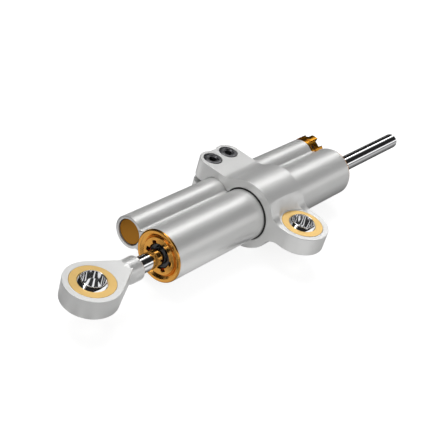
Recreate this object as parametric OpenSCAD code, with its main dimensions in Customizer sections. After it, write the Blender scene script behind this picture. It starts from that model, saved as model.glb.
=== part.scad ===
// Motorcycle steering damper: a through-rod cylinder with a side tube for the
// adjuster and reservoir, a spherical bearing on the rod and one on a clamp.
// Millimetres. The origin is the centre of the rod end's ball, X runs along the
// rod towards its free tail, Z along the rod end's bolt.

/* [Cylinder] */
// Outer diameter of the main tube
tube_d = 20; // [19.4:0.1:20.6]
// Bore of the main tube, in which the piston runs
bore_d = 16; // [15.2:0.1:16.4]
// Outer diameter of the side tube
side_d = 12.5; // [12.2:0.1:12.8]
// Bore of the side tube behind its plug
side_bore_d = 9.2; // [8.8:0.1:9.5]
// Diameter of the seat for the side tube's front plug
plug_seat_d = 10.2; // [10:0.1:10.6]
// Metal left between the front cap's flange and the plug's seat
seat_wall = 0.25; // [0.15:0.05:0.6]
// Angle on the main tube at which the web to the side tube leaves it
web_angle = 46; // [44:1:48]
// How far the side tube's front face lies behind the cylinder's front
side_front_set = 1; // [0.4:0.1:1.5]
// How far the side tube's rear face lies before the cylinder's rear
side_rear_set = 2; // [1:0.1:3]

/* [Stroke] */
// Travel of the rod out of the cylinder from rest
stroke_out = 49; // [40:1:60]
// Travel of the rod into the cylinder from rest
stroke_in = 10; // [6:0.5:12]
// Room left between each clip and its cap at the end of the travel
end_room = 0.5; // [0.3:0.1:1]
// Room left between the rod end and the front cap at full travel
rod_end_room = 1.1; // [1:0.1:5]
// Length of the tail left outside the rear cap with the rod fully out
tail_spare = 1.2; // [0.3:0.1:4]

/* [Rod and piston] */
// Diameter of the piston rod
rod_d = 6.4; // [6:0.1:6.8]
// Width of the piston
piston_w = 8; // [5.6:0.2:10]
// Width of the groove for the piston band
band_groove_w = 3; // [2.4:0.1:4]
// Depth of the groove for the piston band
band_depth = 0.9; // [0.7:0.1:1.2]
// Thickness of each clip beside the piston
clip_w = 0.8; // [0.6:0.1:1]
// Outer diameter of each clip
clip_d = 9; // [8:0.5:10]
// Chamfer on the rod's tail
tail_chamfer = 0.9; // [0.4:0.1:1.2]

/* [Caps and seals] */
// Length of each cap from its outer face to the oil
cap_len = 19; // [17.5:0.5:21]
// Thickness of the front cap's flange
front_flange_w = 0.7; // [0.7:0.1:1.4]
// Thickness of the rear cap's flange
rear_flange_w = 0.9; // [0.8:0.1:1.6]
// How much lower than the tube the rear cap's flange is
rear_flange_drop = 0.25; // [0.1:0.05:0.4]
// Radius of the rounded outer edge of each flange
flange_round = 0.6; // [0.4:0.05:0.65]
// Depth of the dished face of each cap
dish_depth = 0.3; // [0.2:0.1:0.6]
// Diameter of the flat middle of the dished face
dish_d = 14; // [13.5:0.1:15.5]
// Diameter of the recess round the rod
recess_d = 9.6; // [9.4:0.1:10]
// Depth of the recess from the cap's face to the wiper
recess_depth = 0.8; // [0.6:0.1:1.2]
// Width of the wiper ring
wiper_w = 2.5; // [2:0.1:3]
// Outer diameter of the spanner slots
slot_d = 11.8; // [11:0.1:12.4]
// Width of each spanner slot
slot_w = 1.8; // [1.4:0.1:2.2]
// Depth of the spanner slots below the flat middle of the face
slot_depth = 2.2; // [1.4:0.1:2.6]
// Angle between the two pairs of spanner slots
slot_pair_angle = 54; // [48:1:60]
// Outer diameter of the rod bush
bush_d = 9.2; // [8.8:0.1:9.4]
// Outer diameter of the rod seal
seal_d = 11; // [10.4:0.1:11.6]
// Width of the rod seal
seal_w = 2.5; // [2:0.1:3]
// Thickness of the washer behind the rod seal
washer_w = 0.8; // [0.6:0.1:1]
// Section diameter of the O-rings on the caps
cap_oring_w = 1.1; // [0.9:0.05:1.2]

/* [Side tube fittings] */
// Length of the front plug
plug_len = 5.2; // [4.8:0.1:6]
// Width of the black ring round the plug's front face
plug_ring_w = 0.35; // [0.25:0.05:0.5]
// Length of the reservoir spring
spring_len = 6.6; // [5.6:0.2:7]
// Wire diameter of the reservoir spring
spring_wire_d = 0.8; // [0.6:0.1:1]
// Length of the floating piston
floater_len = 4.4; // [4:0.1:4.8]
// Travel of the floating piston as the oil warms and cools
floater_travel = 1; // [0.5:0.1:1.2]
// Section diameter of the O-rings in the side tube
side_oring_w = 0.8; // [0.7:0.05:0.9]
// Diameter of the oil ports between the tubes
port_d = 2; // [1.4:0.1:2.4]
// Diameter of the metering shaft's stem
stem_d = 3; // [2.6:0.1:3.2]
// Diameter of the metering shaft's collar
collar_d = 4; // [3.8:0.1:4.2]

/* [Knob] */
// Diameter of the knob between its ribs
knob_d = 12.1; // [11.6:0.1:12.6]
// Height of each rib above the knob
rib_h = 0.3; // [0.2:0.1:0.4]
// Number of ribs
rib_count = 6; // [5:1:7]
// Angle that each rib covers
rib_angle = 28; // [20:1:32]
// Length of the knob without its teeth
knob_len = 6; // [5.4:0.1:7]
// Length of the plain collar before the ribs
knob_collar = 2.9; // [2.2:0.1:3.6]
// How far the ribs stand past the knob's end as teeth
tooth_len = 2; // [1:0.1:2.6]
// Diameter of the nose that the knob turns on
nose_d = 6; // [5.6:0.1:6.2]
// Length of the nose behind the side tube
nose_len = 4; // [3.8:0.1:4.4]
// Diameter of the grub screw that holds the knob
grub_d = 2; // [1.6:0.1:2.2]

/* [Bearings] */
// Bore of the sleeve in each bearing, for an 8 mm bolt
bolt_bore_d = 8; // [7.6:0.1:8.2]
// Wall of the sleeve
sleeve_wall = 0.35; // [0.3:0.05:0.5]
// Length of the sleeve
sleeve_len = 9.8; // [9.4:0.1:10.6]
// Diameter of the ball
ball_d = 12.9; // [12.4:0.1:13.2]
// Outer diameter of the bearing ring
race_d = 16; // [15.4:0.1:16.6]
// Width of the bearing ring and of what holds it
race_w = 7.4; // [6.8:0.1:7.8]

/* [Rod end] */
// Wall round the bearing ring in the rod end
eye_wall = 2.2; // [1.6:0.1:2.8]
// Diameter of the rod end's shank
shank_d = 9.1; // [8.4:0.1:9.4]
// Distance from the ball's centre to the end of the shank
shank_reach = 21; // [20:0.5:24]
// Distance from the ball's centre to where the neck's sides end
neck_reach = 15.5; // [14:0.5:16.5]
// Radius of the small round that the neck's sides run to
neck_round = 2.3; // [1.5:0.1:2.6]
// Depth of the rod's thread in the shank
thread_len = 6; // [5.4:0.1:6.1]
// Chamfer on the end of the shank
shank_chamfer = 0.6; // [0.3:0.1:0.9]

/* [Clamp] */
// Distance from the cylinder's front to the clamp
clamp_set = 48.1; // [40:0.1:60]
// Width of the clamp along the cylinder
clamp_w = 20.6; // [20:0.2:22]
// Wall of the clamp round the main tube
clamp_wall = 3.4; // [3:0.05:4]
// Metal between the clamp's bore and the bearing's seat
ear_wall = 1.2; // [1:0.05:2]
// Height of the ear's bearing above the cylinder's axis
ear_rise = 0.95; // [0.5:0.05:1.2]
// Radius of the fillet above the ear
ear_fillet_top = 5.5; // [4:0.1:6]
// Radius of the fillet below the ear
ear_fillet_low = 5; // [4:0.1:5.5]
// Radius of the pocket over the ear beyond the bearing ring, at its foot
pocket_margin = 1.2; // [0.9:0.1:1.3]
// How far the pocket's axis lies beyond the ring's, away from the cylinder
pocket_set = 0.6; // [0.3:0.1:0.8]
// How much wider the pocket gets for each unit of height
pocket_lean = 0.36; // [0.25:0.01:0.4]
// Height of the flat that the screws sit in, above the cylinder's axis
block_top = 9.4; // [9.2:0.1:9.8]
// Depth of the lower jaw below the cylinder's axis
block_low = 8.6; // [8.2:0.1:9]
// Radius of the fillet between the upper jaw and the round body
block_fillet_top = 10; // [6:0.5:11]
// Radius of the fillet between the lower jaw and the round body
block_fillet_low = 6; // [4:0.5:7]
// Gap between the jaws
slit_w = 2.2; // [1.6:0.2:3.4]
// Height of the middle of the gap above the cylinder's axis
slit_rise = 0.1; // [0:0.1:0.8]
// Metal between the side tube's bore and the screws
screw_wall = 0.15; // [0.1:0.05:0.5]
// How far the rounds of the jaws' ends stand behind the screws' centres
lobe_set = 0.5; // [0:0.1:0.8]
// Distance between the two screws
screw_pitch = 9.5; // [9:0.1:10]
// Thread diameter of the clamp screws
screw_d = 4; // [3.8:0.1:4.1]
// Length of the clamp screws under the head
screw_len = 12; // [10:0.5:12.5]
// Diameter of the screw heads
head_d = 7; // [6.8:0.1:7.2]
// Height of the screw heads
head_h = 4; // [3.6:0.1:4.2]
// Width across the flats of the hexagon socket
hex_w = 3; // [2.5:0.1:3.2]
// Depth of the hexagon socket
hex_depth = 2; // [1.5:0.1:2.5]
// Thickness of the liner between clamp and tube
liner_w = 0.42; // [0.3:0.02:0.5]
// How far the liner stands out of the clamp at each end
liner_lip = 0.25; // [0.1:0.05:0.5]

/* [Hidden] */
$fn = 72;

// Clearances: a running fit, a fit of pieces that stay together, and the
// amount by which a cut runs past the face that it opens. A shape that leaves
// a round one at a tangent starts a hair inside it, so that they meet cleanly.
run_fit = 0.04;
seat_fit = 0.02;
past = 1;
blend = 0.02;

// Radii that many pieces share
tube_r = tube_d / 2;
bore_r = bore_d / 2;
side_r = side_d / 2;
side_bore_r = side_bore_d / 2;
plug_seat_r = plug_seat_d / 2;
rod_r = rod_d / 2;
race_r = race_d / 2;
ball_r = ball_d / 2;

// Distance between the axes of the two tubes
tube_pitch = tube_r + seat_wall + plug_seat_r;

// Stations along X: cylinder front and rear, the oil space between the caps,
// the side tube's ends and the rod's ends
front_x = shank_reach + stroke_in + rod_end_room;
oil_x0 = front_x + cap_len;
oil_x1 = oil_x0 + stroke_out + stroke_in + piston_w + 2 * (end_room + clip_w);
rear_x = oil_x1 + cap_len;
tube_x0 = front_x + front_flange_w;
tube_x1 = rear_x - rear_flange_w;
side_x0 = front_x + side_front_set;
side_x1 = rear_x - side_rear_set;
rod_x0 = shank_reach - thread_len;
rod_x1 = rear_x + stroke_out + tail_spare;
piston_x0 = oil_x0 + end_room + clip_w + stroke_out;
piston_x1 = piston_x0 + piston_w;

// A solid turned about an axis along X, from points of radius and place
module turned(points) {
    rotate([90, 0, 90])
        rotate_extrude()
            polygon(points);
}

// A plain ring about an axis along X
module ring(x0, x1, inner_r, outer_r) {
    turned([[inner_r, x0], [outer_r, x0], [outer_r, x1], [inner_r, x1]]);
}

// A round bar or cut about an axis along X
module bar(x0, x1, r) {
    translate([x0, 0, 0])
        rotate([0, 90, 0])
            cylinder(h = x1 - x0, r = r);
}

// An O-ring about an axis along X
module oring(x, mid_r, section_d) {
    translate([x, 0, 0])
        rotate([90, 0, 90])
            rotate_extrude()
                translate([mid_r, 0])
                    circle(d = section_d, $fn = 24);
}

// Moves its children onto the side tube's axis
module on_side() {
    translate([0, tube_pitch, 0])
        children();
}

// Points of an arc, as radius and place
function arc(centre, r, a0, a1, steps = 8) =
    [for (i = [0:steps]) let (a = a0 + (a1 - a0) * i / steps)
        [centre[0] + r * cos(a), centre[1] + r * sin(a)]];

// Cross-section of the twin tube, grown by a clearance: two rounds and a web
// whose faces leave the main tube at a tangent and end in the side tube's wall
web_end_r = (side_r + plug_seat_r) / 2;
function web_run(r) =
    let (w = [r * cos(web_angle) - tube_pitch, r * sin(web_angle)],
         b = w[0] * sin(web_angle) - w[1] * cos(web_angle))
    -b - sqrt(b * b - w * w + web_end_r * web_end_r);
module twin_profile(main_grow, side_grow) {
    r = tube_r + side_grow;
    tangent = [r * cos(web_angle), r * sin(web_angle)];
    end = tangent + web_run(r) * [sin(web_angle), -cos(web_angle)];
    circle(r = tube_r + main_grow);
    translate([tube_pitch, 0])
        circle(r = side_r + side_grow);
    polygon([tangent, end, [end[0], -end[1]], [tangent[0], -tangent[1]]]);
}
module along_x(x0, x1) {
    translate([x0, 0, 0])
        rotate([90, 0, 90])
            linear_extrude(x1 - x0)
                children();
}

// Room that the main tube and rear cap leave round the knob
knob_relief = 0.35;
knob_r = knob_d / 2;
rib_r = knob_r + rib_h;
module knob_room() {
    on_side()
        bar(side_x1, rear_x + past, rib_r + knob_relief);
}

// Twin tube, bored right through, with an oil port at each end of the stroke
port_end_room = 0.3;
port_set = port_d / 2 + port_end_room;
front_port_x = oil_x0 + port_set;
rear_port_x = oil_x1 - port_set;
plug_end_room = 0.4;
plug_seat_x1 = side_x0 + plug_len + plug_end_room;
module body_extrusion() {
    color("silver")
        difference() {
            union() {
                bar(tube_x0, tube_x1, tube_r);
                difference() {
                    along_x(side_x0, side_x1)
                        twin_profile(0, 0);
                    bar(side_x0 - past, tube_x0, tube_r + run_fit);
                }
            }
            bar(tube_x0 - past, tube_x1 + past, bore_r);
            on_side()
                bar(side_x0 - past, plug_seat_x1, plug_seat_r);
            on_side()
                bar(side_x0, side_x1 + past, side_bore_r);
            for (x = [front_port_x, rear_port_x])
                translate([x, 0, 0])
                    rotate([-90, 0, 0])
                        cylinder(h = tube_pitch, d = port_d);
            knob_room();
        }
}

// End caps and what they hold. Each stack starts at the cap's outer face and
// runs inwards, and the rear one is the same stack turned round.
module front_end() {
    translate([front_x, 0, 0])
        children();
}
module rear_end() {
    translate([rear_x, 0, 0])
        mirror([1, 0, 0])
            children();
}
recess_r = recess_d / 2;
bush_r = bush_d / 2;
seal_r = seal_d / 2;
wiper_x0 = recess_depth;
wiper_x1 = wiper_x0 + wiper_w;
washer_x0 = cap_len - washer_w;
seal_x0 = washer_x0 - seal_w;
cap_body_r = bore_r - seat_fit;
cap_groove_room = 1.25;
cap_groove_w = cap_oring_w * cap_groove_room;
cap_groove_r = cap_body_r - cap_oring_w;
cap_groove_x = 9.5;
slot_turn = -2;
slot_angles = [for (pair = [0, slot_pair_angle], turn = [0, 180]) slot_turn + pair + turn];
module gland_cap(flange_w, flange_r) {
    groove_x0 = cap_groove_x - cap_groove_w / 2;
    groove_x1 = cap_groove_x + cap_groove_w / 2;
    crest_r = flange_r - flange_round;
    difference() {
        turned(concat(
            [[recess_r, dish_depth], [dish_d / 2, dish_depth]],
            arc([crest_r, flange_round], flange_round, -90, 0),
            [[flange_r, flange_w], [cap_body_r, flange_w],
             [cap_body_r, groove_x0], [cap_groove_r, groove_x0],
             [cap_groove_r, groove_x1], [cap_body_r, groove_x1],
             [cap_body_r, cap_len], [seal_r, cap_len],
             [seal_r, seal_x0], [bush_r, seal_x0],
             [bush_r, wiper_x1], [recess_r, wiper_x1]]));
        for (a = slot_angles)
            rotate([a, 0, 0])
                translate([0, 0, -slot_w / 2])
                    cube([dish_depth + slot_depth, slot_d / 2, slot_w]);
    }
}
rod_run_r = rod_r + run_fit;
module guide_bush() {
    ring(wiper_x1 + seat_fit, seal_x0 - seat_fit, rod_run_r, bush_r - seat_fit);
}
seal_lip = 0.5;
seal_lip_x = seal_w * 0.35;
lip_run_r = rod_r + run_fit / 2;
module rod_seal() {
    turned([[lip_run_r + seal_lip, seal_x0 + seat_fit], [seal_r - seat_fit, seal_x0 + seat_fit],
            [seal_r - seat_fit, washer_x0 - seat_fit], [lip_run_r + seal_lip, washer_x0 - seat_fit],
            [lip_run_r, washer_x0 - seal_lip_x], [lip_run_r, seal_x0 + seal_lip_x]]);
}
washer_room = 0.3;
module seal_washer() {
    ring(washer_x0 + seat_fit, cap_len, rod_r + washer_room, seal_r - seat_fit);
}
wiper_crest_set = 0.5;
wiper_fall = 0.35;
module wiper() {
    turned([[rod_run_r, wiper_x0 + wiper_fall], [recess_r - wiper_crest_set, wiper_x0],
            [recess_r - seat_fit, wiper_x0 + wiper_fall],
            [recess_r - seat_fit, wiper_x1 - seat_fit], [rod_run_r, wiper_x1 - seat_fit]]);
}
module cap_oring() {
    oring(cap_groove_x, cap_groove_r + cap_oring_w / 2, cap_oring_w - seat_fit);
}

module front_cap() {
    color("darkgoldenrod")
        front_end() gland_cap(front_flange_w, tube_r);
}
module front_guide_bush() {
    color("peru")
        front_end() guide_bush();
}
module front_rod_seal() {
    color("#2a2a2e")
        front_end() rod_seal();
}
module front_seal_washer() {
    color("gray")
        front_end() seal_washer();
}
module front_wiper() {
    color("#141416")
        front_end() wiper();
}
module front_cap_oring() {
    color("#202022")
        front_end() cap_oring();
}
module rear_cap() {
    color("darkgoldenrod")
        difference() {
            rear_end() gland_cap(rear_flange_w, tube_r - rear_flange_drop);
            knob_room();
        }
}
module rear_guide_bush() {
    color("peru")
        rear_end() guide_bush();
}
module rear_rod_seal() {
    color("#2a2a2e")
        rear_end() rod_seal();
}
module rear_seal_washer() {
    color("gray")
        rear_end() seal_washer();
}
module rear_wiper() {
    color("#141416")
        rear_end() wiper();
}
module rear_cap_oring() {
    color("#202022")
        rear_end() cap_oring();
}

// Front plug of the side tube: a disc in a step, held by a black snap ring
plug_sunk = 0.2;
plug_x0 = side_x0 + plug_sunk;
plug_x1 = side_x0 + plug_len;
plug_step = 1.3;
ring_sunk = 0.35;
plug_body_r = plug_seat_r - seat_fit;
plug_face_r = plug_seat_r - plug_ring_w;
side_groove_room = 1.3;
side_groove_w = side_oring_w * side_groove_room;
plug_groove_set = 1.6;
plug_groove_x = plug_x1 - plug_groove_set;
spigot_len = 1.4;
spring_mid_r = 3;
spring_room = 0.15;
spigot_r = spring_mid_r - spring_wire_d / 2 - spring_room;
function side_groove_r(body_r) = body_r - side_oring_w;
module side_plug() {
    groove_r = side_groove_r(plug_body_r);
    color("goldenrod")
        on_side()
            turned([[0, plug_x0], [plug_face_r, plug_x0],
                    [plug_face_r, plug_x0 + plug_step], [plug_body_r, plug_x0 + plug_step],
                    [plug_body_r, plug_groove_x - side_groove_w / 2],
                    [groove_r, plug_groove_x - side_groove_w / 2],
                    [groove_r, plug_groove_x + side_groove_w / 2],
                    [plug_body_r, plug_groove_x + side_groove_w / 2],
                    [plug_body_r, plug_x1], [spigot_r, plug_x1],
                    [spigot_r, plug_x1 + spigot_len], [0, plug_x1 + spigot_len]]);
}
module side_plug_ring() {
    color("#141416")
        on_side()
            ring(plug_x0 + ring_sunk, plug_x0 + plug_step - seat_fit,
                 plug_face_r + seat_fit, plug_body_r);
}
module side_oring(x, body_r) {
    on_side()
        oring(x, side_groove_r(body_r) + side_oring_w / 2, side_oring_w - seat_fit);
}
module side_plug_oring() {
    color("#202022")
        side_oring(plug_groove_x, plug_body_r);
}

// Reservoir: a wire spring pushes the floating piston against the oil
floater_x0 = plug_x1 + spring_len;
floater_r = side_bore_r - run_fit;
floater_groove_share = 0.55;
floater_groove_x = floater_x0 + floater_len * floater_groove_share;
cup_depth = 1;
spring_turns = 3;
spring_sides = 6;
spring_steps = 12;
module reservoir_spring() {
    wire_r = spring_wire_d / 2;
    rings = spring_turns * spring_steps;
    rise = (spring_len - 2 * seat_fit - spring_wire_d) / rings;
    points = [for (i = [0:rings], k = [0:spring_sides - 1])
        let (a = 360 * i / spring_steps, b = 360 * k / spring_sides,
             r = spring_mid_r + wire_r * cos(b))
        [plug_x1 + seat_fit + wire_r + rise * i + wire_r * sin(b), r * cos(a), r * sin(a)]];
    sides = [for (i = [0:rings - 1], k = [0:spring_sides - 1])
        let (n = (k + 1) % spring_sides, a = i * spring_sides, b = a + spring_sides)
        each [[a + k, b + k, b + n], [a + k, b + n, a + n]]];
    first = [for (k = [spring_sides - 1:-1:0]) k];
    last = [for (k = [0:spring_sides - 1]) rings * spring_sides + k];
    color("lightsteelblue")
        on_side()
            polyhedron(points, concat(sides, [last, first]));
}
module floating_piston() {
    groove_r = side_groove_r(floater_r);
    color("lightgray")
        on_side()
            turned([[0, floater_x0], [floater_r, floater_x0],
                    [floater_r, floater_groove_x - side_groove_w / 2],
                    [groove_r, floater_groove_x - side_groove_w / 2],
                    [groove_r, floater_groove_x + side_groove_w / 2],
                    [floater_r, floater_groove_x + side_groove_w / 2],
                    [floater_r, floater_x0 + floater_len],
                    [spigot_r, floater_x0 + floater_len],
                    [spigot_r, floater_x0 + floater_len - cup_depth],
                    [0, floater_x0 + floater_len - cup_depth]]);
}
module floating_piston_oring() {
    color("#202022")
        side_oring(floater_groove_x, floater_r);
}

// Adjuster: a cartridge in the side tube's rear with a metering shaft on its
// axis. Its nose carries the knob, and a sprung ball gives the clicks.
valve_reach = 7.5;
valve_x0 = rear_port_x - valve_reach;
nose_x1 = side_x1 + nose_len;
nose_r = nose_d / 2;
cartridge_r = side_bore_r - seat_fit;
seat_hole_r = 1.1;
seat_len = 2;
port_hole_r = 0.8;
port_groove_depth = 0.6;
collar_r = collar_d / 2;
stem_r = stem_d / 2;
collar_room_len = 12;
collar_room_x1 = valve_x0 + collar_room_len;
stem_seal_set = 3;
stem_seal_x = collar_room_x1 + stem_seal_set;
nose_groove_set = 1.6;
nose_groove_x = side_x1 + nose_len - nose_groove_set;
nose_groove_depth = 0.5;
grub_r = grub_d / 2;
detent_ball_r = 0.5;
detent_r = (nose_r + cartridge_r) / 2;
detent_hole_depth = 3.6;
module valve_cartridge() {
    groove_r = side_groove_r(cartridge_r);
    color("tan")
        on_side()
            difference() {
                turned([[seat_hole_r, valve_x0], [cartridge_r, valve_x0],
                        [cartridge_r, rear_port_x - port_d / 2],
                        [cartridge_r - port_groove_depth, rear_port_x - port_d / 2],
                        [cartridge_r - port_groove_depth, rear_port_x + port_d / 2],
                        [cartridge_r, rear_port_x + port_d / 2],
                        [cartridge_r, stem_seal_x - side_groove_w / 2],
                        [groove_r, stem_seal_x - side_groove_w / 2],
                        [groove_r, stem_seal_x + side_groove_w / 2],
                        [cartridge_r, stem_seal_x + side_groove_w / 2],
                        [cartridge_r, side_x1], [nose_r, side_x1],
                        [nose_r, nose_groove_x - grub_r - run_fit],
                        [nose_r - nose_groove_depth, nose_groove_x - grub_r - run_fit],
                        [nose_r - nose_groove_depth, nose_groove_x + grub_r + run_fit],
                        [nose_r, nose_groove_x + grub_r + run_fit],
                        [nose_r, nose_x1], [stem_r + run_fit, nose_x1],
                        [stem_r + run_fit, collar_room_x1], [collar_r + run_fit, collar_room_x1],
                        [collar_r + run_fit, valve_x0 + seat_len], [seat_hole_r, valve_x0 + seat_len]]);
                translate([rear_port_x, -side_bore_r, 0])
                    rotate([-90, 0, 0])
                        cylinder(h = side_bore_r, r = port_hole_r);
                translate([0, 0, detent_r])
                    bar(side_x1 - detent_hole_depth, side_x1 + past, detent_ball_r + run_fit);
            }
}
module valve_cartridge_oring() {
    color("#202022")
        side_oring(stem_seal_x, cartridge_r);
}
ball_sunk = 0.1;
detent_ball_x = side_x1 - ball_sunk;
detent_spring_r = 0.25;
module detent_spring() {
    color("lightsteelblue")
        on_side()
            translate([0, 0, detent_r])
                ring(side_x1 - detent_hole_depth + seat_fit,
                     detent_ball_x - detent_ball_r - seat_fit, detent_spring_r, detent_ball_r);
}
module detent_ball() {
    color("gainsboro")
        on_side()
            translate([detent_ball_x, 0, detent_r])
                sphere(r = detent_ball_r, $fn = 32);
}

// Metering shaft: a collar beside the port with a ramp milled across its end,
// which opens the port more or less as the knob turns it, and a slotted stem
collar_reach = 3;
collar_x0 = rear_port_x - collar_reach;
collar_end_room = 1;
collar_x1 = collar_room_x1 - collar_end_room;
ramp_len = 4.6;
ramp_depth = 1.3;
ramp_turn = 20;
knob_gap = 0.15;
knob_x0 = side_x1 + knob_gap;
knob_x1 = knob_x0 + knob_len;
stem_spare = 1;
stem_x1 = knob_x1 + stem_spare;
stem_edge = 0.3;
stem_slot_w = 0.6;
stem_slot_depth = 0.7;
module metering_shaft() {
    color("silver")
        on_side()
            difference() {
                turned([[0, collar_x0], [collar_r, collar_x0], [collar_r, collar_x1],
                        [stem_r, collar_x1], [stem_r, stem_x1 - stem_edge],
                        [stem_r - stem_edge, stem_x1], [0, stem_x1]]);
                rotate([ramp_turn, 0, 0])
                    translate([collar_x0, ramp_depth - collar_r, 0])
                        rotate([0, 0, -atan(ramp_depth / ramp_len)])
                            translate([-past, -2 * collar_r, -collar_r - past])
                                cube([ramp_len + 2 * past, 2 * collar_r, 2 * (collar_r + past)]);
                translate([stem_x1 - stem_slot_depth, -stem_r, -stem_slot_w / 2])
                    cube([past, 2 * stem_r, stem_slot_w]);
            }
}

// Knob: a plain collar, then ribs that stand past its end as teeth
grub_angle = 125;
detent_groove_depth = 0.6;
detent_groove_room = 0.1;
rib_root = 2.2;
knob_edge = 0.4;
grub_sunk = 0.45;
grub_hex_depth = 0.8;
grub_hex_r = 0.55;
module knob_rib() {
    half = rib_angle / 2;
    inner_r = rib_r - rib_root;
    intersection() {
        ring(knob_x0 + knob_collar, knob_x1 + tooth_len, inner_r, rib_r);
        along_x(knob_x0, knob_x1 + tooth_len)
            polygon([[0, 0], 2 * rib_r * [cos(half), sin(half)],
                     2 * rib_r * [cos(half), -sin(half)]]);
    }
}
module adjuster_knob() {
    detent_inner_r = detent_r - detent_ball_r - detent_groove_room;
    detent_outer_r = detent_r + detent_ball_r + detent_groove_room;
    color("orange")
        on_side()
            difference() {
                union() {
                    turned([[nose_r + run_fit, knob_x0],
                            [detent_inner_r, knob_x0],
                            [detent_inner_r, knob_x0 + detent_groove_depth],
                            [detent_outer_r, knob_x0 + detent_groove_depth],
                            [detent_outer_r, knob_x0],
                            [knob_r - knob_edge, knob_x0], [knob_r, knob_x0 + knob_edge],
                            [knob_r, knob_x1], [stem_r + run_fit, knob_x1],
                            [stem_r + run_fit, nose_x1 + run_fit], [nose_r + run_fit, nose_x1 + run_fit]]);
                    for (i = [0:rib_count - 1])
                        rotate([90 + 360 * i / rib_count, 0, 0])
                            knob_rib();
                }
                rotate([grub_angle, 0, 0])
                    translate([nose_groove_x, 0, 0])
                        rotate([-90, 0, 0])
                            cylinder(h = rib_r + past, r = grub_r + seat_fit, $fn = 32);
            }
}
module knob_grub_screw() {
    tip_r = nose_r - nose_groove_depth + run_fit;
    top_r = knob_r - grub_sunk;
    color("dimgray")
        on_side()
            rotate([grub_angle, 0, 0])
                translate([nose_groove_x, tip_r, 0])
                    rotate([-90, 0, 0])
                        difference() {
                            cylinder(h = top_r - tip_r, r = grub_r, $fn = 32);
                            translate([0, 0, top_r - tip_r - grub_hex_depth])
                                cylinder(h = past, r = grub_hex_r, $fn = 6);
                        }
}

// Rod, piston, its band and its clips
clip_groove_depth = 0.5;
piston_room = 0.25;
piston_r = bore_r - piston_room;
piston_edge = 0.5;
rod_edge = 0.5;
module piston_rod() {
    neck_r = rod_r - clip_groove_depth;
    color("gainsboro")
        turned([[0, rod_x0], [rod_r - rod_edge, rod_x0], [rod_r, rod_x0 + rod_edge],
                [rod_r, piston_x0 - clip_w], [neck_r, piston_x0 - clip_w],
                [neck_r, piston_x0], [rod_r, piston_x0],
                [rod_r, piston_x1], [neck_r, piston_x1],
                [neck_r, piston_x1 + clip_w], [rod_r, piston_x1 + clip_w],
                [rod_r, rod_x1 - tail_chamfer], [rod_r - tail_chamfer, rod_x1], [0, rod_x1]]);
}
module piston() {
    mid = (piston_x0 + piston_x1) / 2;
    groove_r = piston_r - band_depth;
    color("darkgray")
        turned([[rod_r + seat_fit, piston_x0 + seat_fit], [piston_r - piston_edge, piston_x0 + seat_fit],
                [piston_r, piston_x0 + piston_edge], [piston_r, mid - band_groove_w / 2],
                [groove_r, mid - band_groove_w / 2], [groove_r, mid + band_groove_w / 2],
                [piston_r, mid + band_groove_w / 2], [piston_r, piston_x1 - piston_edge],
                [piston_r - piston_edge, piston_x1 - seat_fit], [rod_r + seat_fit, piston_x1 - seat_fit]]);
}
module piston_band() {
    mid = (piston_x0 + piston_x1) / 2;
    half = band_groove_w / 2 - run_fit;
    color("#3a2f26")
        ring(mid - half, mid + half, piston_r - band_depth + run_fit, bore_r - run_fit);
}
module piston_clips() {
    color("dimgray")
        for (x = [piston_x0 - clip_w, piston_x1])
            ring(x + seat_fit, x + clip_w - seat_fit, rod_r - clip_groove_depth + seat_fit, clip_d / 2);
}

// Spherical bearing: a ring with a round seat, a ball and a sleeve for the bolt
sleeve_r = bolt_bore_d / 2 + sleeve_wall;
ball_bore_r = sleeve_r + run_fit;
ball_seat_r = ball_r + run_fit;
ball_rim_w = 0.25;
ball_half = sqrt(pow(ball_r, 2) - pow(ball_bore_r + ball_rim_w, 2));
sleeve_edge = 0.2;
module race() {
    difference() {
        cylinder(h = race_w, r = race_r, center = true);
        sphere(r = ball_seat_r);
    }
}
module ball() {
    difference() {
        intersection() {
            sphere(r = ball_r);
            cylinder(h = 2 * ball_half, r = ball_r, center = true);
        }
        cylinder(h = ball_d, r = ball_bore_r, center = true);
    }
}
module sleeve() {
    half = sleeve_len / 2;
    rotate_extrude()
        polygon([[bolt_bore_d / 2, -half], [sleeve_r - sleeve_edge, -half],
                 [sleeve_r, -half + sleeve_edge], [sleeve_r, half - sleeve_edge],
                 [sleeve_r - sleeve_edge, half], [bolt_bore_d / 2, half]]);
}

// Rod end: a round eye whose sides run at a tangent into a turned shank
eye_r = race_r + eye_wall;
shank_r = shank_d / 2;
root_r = race_w / 2 - 0.2;
root_x = race_r + 0.5;
root_x1 = neck_reach - 1;
shank_x0 = neck_reach + 0.7;
thread_room = 0.3;
module rod_end() {
    a = acos((eye_r - neck_round) / neck_reach);
    eye_side = (eye_r - blend) * [cos(a), sin(a)];
    neck_side = [neck_reach, 0] + neck_round * [cos(a), sin(a)];
    color("silver")
        difference() {
            union() {
                linear_extrude(race_w, center = true) {
                    circle(r = eye_r);
                    polygon([eye_side, neck_side, [neck_side[0], -neck_side[1]],
                             [eye_side[0], -eye_side[1]]]);
                }
                turned([[0, root_x], [root_r, root_x], [root_r, root_x1],
                        [shank_r, shank_x0], [shank_r, shank_reach - shank_chamfer],
                        [shank_r - shank_chamfer, shank_reach], [0, shank_reach]]);
            }
            cylinder(h = race_w + past, r = race_r + seat_fit, center = true);
            bar(rod_x0 - thread_room, shank_reach + past, rod_r + seat_fit);
        }
}
module rod_end_race() {
    color("#e8c070")
        race();
}
module rod_end_ball() {
    color("whitesmoke")
        ball();
}
module rod_end_sleeve() {
    color("lightgray")
        sleeve();
}

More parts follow.
